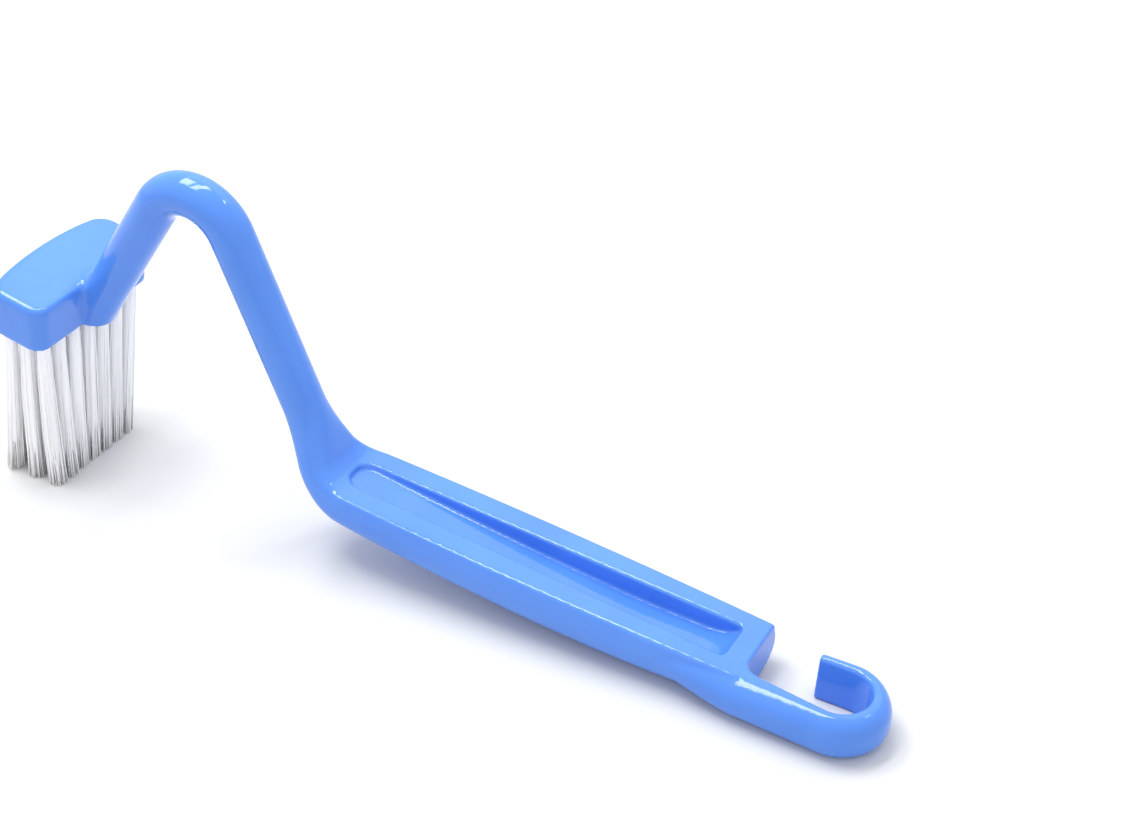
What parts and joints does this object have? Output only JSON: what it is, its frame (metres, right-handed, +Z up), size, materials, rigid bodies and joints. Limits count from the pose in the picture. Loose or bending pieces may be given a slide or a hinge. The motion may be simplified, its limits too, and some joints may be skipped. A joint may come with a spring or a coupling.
{
  "type": "cleaning brush",
  "caption": "Long-necked cleaning brush: a moulded plastic handle with a bent round neck, a flat recessed grip and a hanging hook, and stiff white bristle tufts set in a block head.",
  "frame": {"origin": "on the floor that the brush rests on, under the middle of its length", "axes": "+X runs along the brush from the bristle head to the hook, +Z is up off the floor, +Y is the side that the hook opens to"},
  "size_m": [0.3302, 0.0588, 0.127],
  "materials": {
    "blue_plastic": "smooth glossy moulded plastic",
    "white_bristle": "translucent white nylon filament",
    "anchor_steel": "plain drawn flat wire"
  },
  "bodies": {
    "root": {"handle_moulding": "blue_plastic", "tuft_r1_c1": "white_bristle", "tuft_r1_c2": "white_bristle", "tuft_r1_c3": "white_bristle", "tuft_r1_c4": "white_bristle", "tuft_r1_c5": "white_bristle", "tuft_r1_c6": "white_bristle", "tuft_r1_c7": "white_bristle", "tuft_r2_c1": "white_bristle", "tuft_r2_c2": "white_bristle", "tuft_r2_c3": "white_bristle", "tuft_r2_c4": "white_bristle", "tuft_r2_c5": "white_bristle", "tuft_r2_c6": "white_bristle", "tuft_r2_c7": "white_bristle", "tuft_r3_c1": "white_bristle", "tuft_r3_c2": "white_bristle", "tuft_r3_c3": "white_bristle", "tuft_r3_c4": "white_bristle", "tuft_r3_c5": "white_bristle", "tuft_r3_c6": "white_bristle", "tuft_r3_c7": "white_bristle", "anchor_r1_c1": "anchor_steel", "anchor_r1_c2": "anchor_steel", "anchor_r1_c3": "anchor_steel", "anchor_r1_c4": "anchor_steel", "anchor_r1_c5": "anchor_steel", "anchor_r1_c6": "anchor_steel", "anchor_r1_c7": "anchor_steel", "anchor_r2_c1": "anchor_steel", "anchor_r2_c2": "anchor_steel", "anchor_r2_c3": "anchor_steel", "anchor_r2_c4": "anchor_steel", "anchor_r2_c5": "anchor_steel", "anchor_r2_c6": "anchor_steel", "anchor_r2_c7": "anchor_steel", "anchor_r3_c1": "anchor_steel", "anchor_r3_c2": "anchor_steel", "anchor_r3_c3": "anchor_steel", "anchor_r3_c4": "anchor_steel", "anchor_r3_c5": "anchor_steel", "anchor_r3_c6": "anchor_steel", "anchor_r3_c7": "anchor_steel"}
  },
  "joints": []
}
